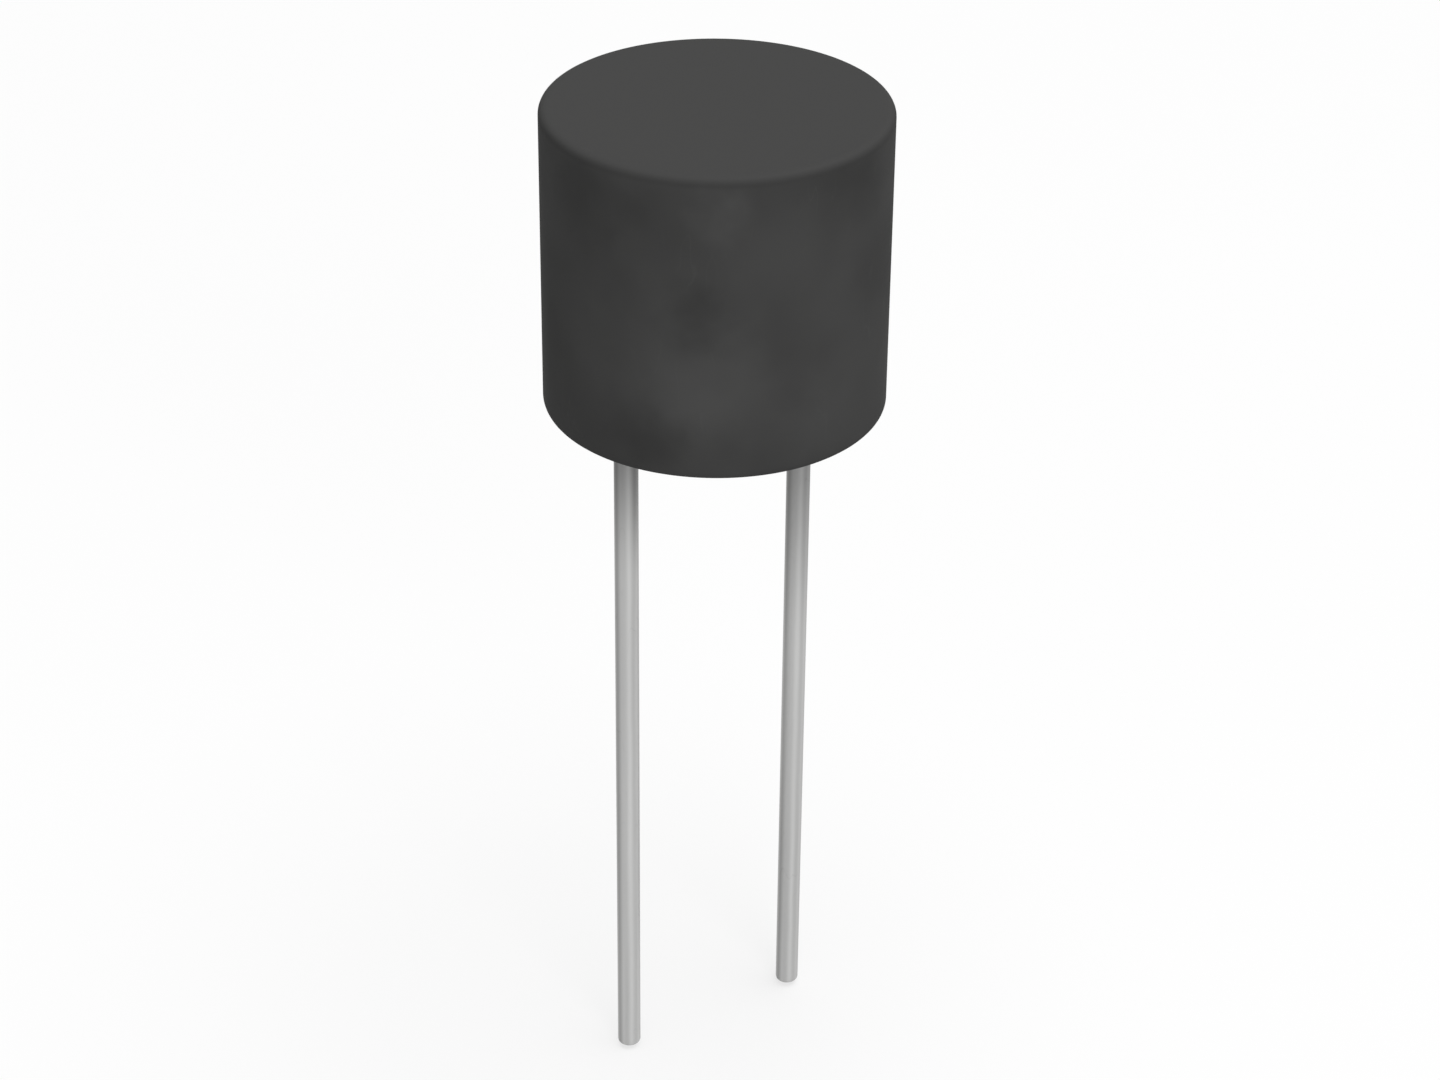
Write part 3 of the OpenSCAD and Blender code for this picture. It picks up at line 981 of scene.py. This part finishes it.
class FUSE_OT_element(bpy.types.Operator):
    """Model the twisted glass strand, the wire wound round it and the solder joints"""
    bl_idname = "fuse.element"
    bl_label = "Element"
    bl_options = {"REGISTER", "UNDO"}

    def execute(self, context):
        element, finish = context.scene.fuse_element, context.scene.fuse_finish
        strand = self.twist_strand(element)
        wire = self.wind_wire(element)
        joints = {RIGHT: self.model_joint(element, context.scene.fuse_leads)}
        joints[LEFT] = copy_of(joints[RIGHT], "solder_left_joint")
        joints[LEFT].data.transform(Matrix.Rotation(pi, 4, "Z"))
        solder = solder_material(finish)
        for side, node in ((LEFT, "solder_left"), (RIGHT, "solder_right")):
            finish_piece(joints[side], node, solder, angle=50.0)
        finish_piece(strand, "wire_core", glass_material(finish), angle=60.0)
        finish_piece(wire, "fuse_wire", element_material(finish), angle=60.0)
        return {"FINISHED"}

    def twist_strand(self, element):
        """Draw a lobed section out along the strand, turning it a little at every step."""
        half = element.strand_length / 2
        corners = element.yarn_corners * element.yarns
        deselect_all()
        bpy.ops.mesh.primitive_circle_add(
            vertices=corners, radius=element.strand_radius, fill_type="NGON",
            location=(-half, 0.0, element.level), rotation=(0.0, pi / 2, 0.0))
        strand = start_editing("glass_strand")
        groove = 1 - element.yarn_groove / element.strand_radius
        for first in range(0, corners, element.yarn_corners):
            pick("VERT", lambda vertex: vertex.index == first)
            stretch(1.0, groove, groove, (-half, 0.0, element.level))
        pick("FACE", lambda face: True)
        steps = element.strand_steps
        pitch = element.strand_length / steps
        turned = element.twist * element.strand_length / steps
        for step in range(1, steps + 1):
            draw_out(pitch, 0.0, 0.0)
            bpy.ops.transform.rotate(value=turned, orient_axis="X",
                                     center_override=(-half + pitch * step, 0.0, element.level))
        turn_outwards()
        leave_editing()
        return strand

    def wind_wire(self, element):
        """Give the wire's route its thickness."""
        route = bpy.data.curves.new("element_winding", "CURVE")
        route.dimensions = "3D"
        route.bevel_depth = element.wire_radius
        route.bevel_resolution = (element.wire_sides - 4) // 2
        route.use_fill_caps = True
        places = self.wire_route(element)
        line = route.splines.new("POLY")
        line.points.add(len(places) - 1)
        for point, place in zip(line.points, places):
            point.co = (*place, 1.0)
        wire = bpy.data.objects.new("element_winding", route)
        bpy.context.scene.collection.objects.link(wire)
        take(wire)
        bpy.ops.object.convert(target="MESH")
        enter_editing()
        clear_slivers()
        turn_outwards()
        leave_editing()
        return bpy.context.object

    def wire_route(self, element):
        """The wire's centre line: a tail, a bend, the turns, a bend and a tail.

        It is first laid flat, as distances along the strand and round it, then rolled up.
        """
        wound = WIRE_HIGH.z - element.level - element.wire_radius
        bend = element.bend
        around = 2 * pi * wound * element.turns
        lay = atan2(around - 2 * bend, element.wound_length - 2 * bend)
        bend_around = bend * (1 - cos(lay))
        run_around = around - 2 * bend_around
        run_along = run_around / tan(lay)
        start = -bend * sin(lay) - run_along / 2
        angles = [lay * i / element.bend_steps for i in range(element.bend_steps)]
        first = [(-WIRE_HIGH.x, 0.0)]
        first += [(start + bend * sin(angle), bend * (1 - cos(angle))) for angle in angles]
        steps = element.turns * element.turn_steps
        run = [(run_along * (i / steps - 0.5), bend_around + run_around * i / steps)
               for i in range(steps + 1)]
        last = [(-along, around - beside) for along, beside in reversed(first)]
        return [(along, wound * sin(beside / wound), element.level + wound * cos(beside / wound))
                for along, beside in first + run + last]

    def model_joint(self, element, lead):
        """Shape a bead of solder that has crept down all round the flat end of the lead."""
        centre = Vector((lead.pitch / 2, 0.0, element.level))
        deselect_all()
        bpy.ops.mesh.primitive_uv_sphere_add(
            segments=element.joint_steps, ring_count=element.joint_steps // 2,
            radius=element.joint_radius, location=centre)
        joint = start_editing("solder_right_joint")
        across = element.creep_radius
        pick("FACE", lambda face: face.calc_center_median().z < element.level and all(
            hypot(v.co.x - centre.x, v.co.y) < across for v in face.verts))
        foot = Vector((centre.x, 0.0, element.level - element.joint_radius))
        for drop, wide, deep in CREEP_STEPS:
            draw_out(0.0, 0.0, -drop * element.creep)
            stretch(wide, deep, CREEP_FLATTEN, foot)
        leave_editing()
        bpy.ops.object.modifier_add(type="SUBSURF")
        smoother = joint.modifiers[-1]
        smoother.levels = 1
        smoother.render_levels = 1
        bpy.ops.object.modifier_apply(modifier=smoother.name)
        carve(joint, bpy.data.objects["lead_right_wire"], "DIFFERENCE")
        return joint


# ---- stage ----

# Each softbox: its place, its diameter and the setting that holds its power.
SOFTBOXES = {
    "softbox top": (Vector((0.1, -0.1, 0.9)), 0.9, "top_power"),
    "softbox front": (Vector((-0.2, -0.83, 0.31)), 0.5, "front_power"),
}


class FUSE_OT_stage(bpy.types.Operator):
    """Set up the pale floor, the soft light and the camera"""
    bl_idname = "fuse.stage"
    bl_label = "Stage"
    bl_options = {"REGISTER", "UNDO"}

    def execute(self, context):
        stage = context.scene.fuse_stage
        self.add_floor(stage)
        self.light_world(context.scene, stage)
        for name, (place, size, power_setting) in SOFTBOXES.items():
            self.add_softbox(name, place, size, getattr(stage, power_setting))
        self.add_camera(context.scene, stage)
        context.scene.view_settings.view_transform = "Standard"
        return {"FINISHED"}

    def add_floor(self, stage):
        deselect_all()
        bpy.ops.mesh.primitive_circle_add(vertices=64, radius=stage.floor_reach, fill_type="NGON",
                                          location=(0.0, 0.0, LEAD_LOW.z - stage.floor_gap))
        floor = start_editing("floor")
        leave_editing()
        floor.data.materials.append(floor_material(stage))

    def light_world(self, scene, stage):
        """A pale room: it lights the fuse at an even level and looks white behind it."""
        world = bpy.data.worlds.new("studio")
        world.use_nodes = True
        scene.world = world
        tree = Tree(world.node_tree)
        level = stage.world_light
        light = tree.add("Background", {"Color": (level, level, level, 1.0)})
        backdrop = tree.add("Background", {"Color": (*stage.white, 1.0)})
        mix = tree.add("MixShader", {
            0: seen_ray(tree), 1: light.outputs["Background"], 2: backdrop.outputs["Background"]})
        tree.add("OutputWorld", {"Surface": mix.outputs["Shader"]})

    def add_softbox(self, name, place, size, power_level):
        """Hang a round lamp at a place, turned to the fuse."""
        lamp = bpy.data.lights.new(name, "AREA")
        lamp.shape = "DISK"
        lamp.size = size
        lamp.energy = power_level
        box = bpy.data.objects.new(name, lamp)
        box.location = place
        box.rotation_mode = "QUATERNION"
        box.rotation_quaternion = (-place).to_track_quat("-Z", "Y")
        bpy.context.scene.collection.objects.link(box)

    def add_camera(self, scene, stage):
        sight = bpy.data.cameras.new("camera")
        sight.sensor_width = 36.0
        sight.lens = stage.lens
        sight.clip_start = 1 * MM
        sight.clip_end = 10.0
        turned, raised = stage.azimuth, stage.elevation
        right = Vector((cos(turned), sin(turned), 0.0))
        back = Vector((sin(turned) * cos(raised), -cos(turned) * cos(raised),
                       sin(raised)))
        up = back.cross(right)
        tilt = Matrix.Rotation(stage.roll, 3, back)
        camera = bpy.data.objects.new("camera", sight)
        axes = Matrix((tilt @ right, tilt @ up, back)).transposed()
        where = Vector((0.0, 0.0, stage.aim_height)) + back * stage.distance + right * stage.side_shift
        camera.matrix_world = Matrix.Translation(where) @ axes.to_4x4()
        scene.collection.objects.link(camera)
        scene.camera = camera


class FUSE_PT_sidebar(bpy.types.Panel):
    """Lists the fuse's pieces and their settings"""
    bl_idname = "FUSE_PT_sidebar"
    bl_label = "Miniature Fuse"
    bl_space_type = "VIEW_3D"
    bl_region_type = "UI"
    bl_category = "Fuse"

    def draw(self, context):
        for operator in MAKERS:
            self.layout.operator(operator.bl_idname)
        for name in SETTINGS:
            box = self.layout.box()
            group = getattr(context.scene, name)
            for prop in group.bl_rna.properties:
                if prop.identifier not in ("rna_type", "name"):
                    box.prop(group, prop.identifier)


SETTINGS = {
    "fuse_cap": FuseCapSizes,
    "fuse_base": FuseBaseSizes,
    "fuse_leads": FuseLeadSizes,
    "fuse_element": FuseElementSizes,
    "fuse_finish": FuseFinish,
    "fuse_stage": FuseStage,
}
MAKERS = (FUSE_OT_cap, FUSE_OT_leads, FUSE_OT_base, FUSE_OT_element, FUSE_OT_stage)


def register():
    for name, group in SETTINGS.items():
        bpy.utils.register_class(group)
        setattr(bpy.types.Scene, name, PointerProperty(type=group))
    for operator in MAKERS:
        bpy.utils.register_class(operator)
    bpy.utils.register_class(FUSE_PT_sidebar)


def unregister():
    bpy.utils.unregister_class(FUSE_PT_sidebar)
    for operator in reversed(MAKERS):
        bpy.utils.unregister_class(operator)
    for name, group in reversed(SETTINGS.items()):
        delattr(bpy.types.Scene, name)
        bpy.utils.unregister_class(group)


def main():
    register()
    bpy.ops.fuse.cap()
    bpy.ops.fuse.leads()
    bpy.ops.fuse.base()
    bpy.ops.fuse.element()
    bpy.ops.fuse.stage()


if __name__ == "__main__":
    main()
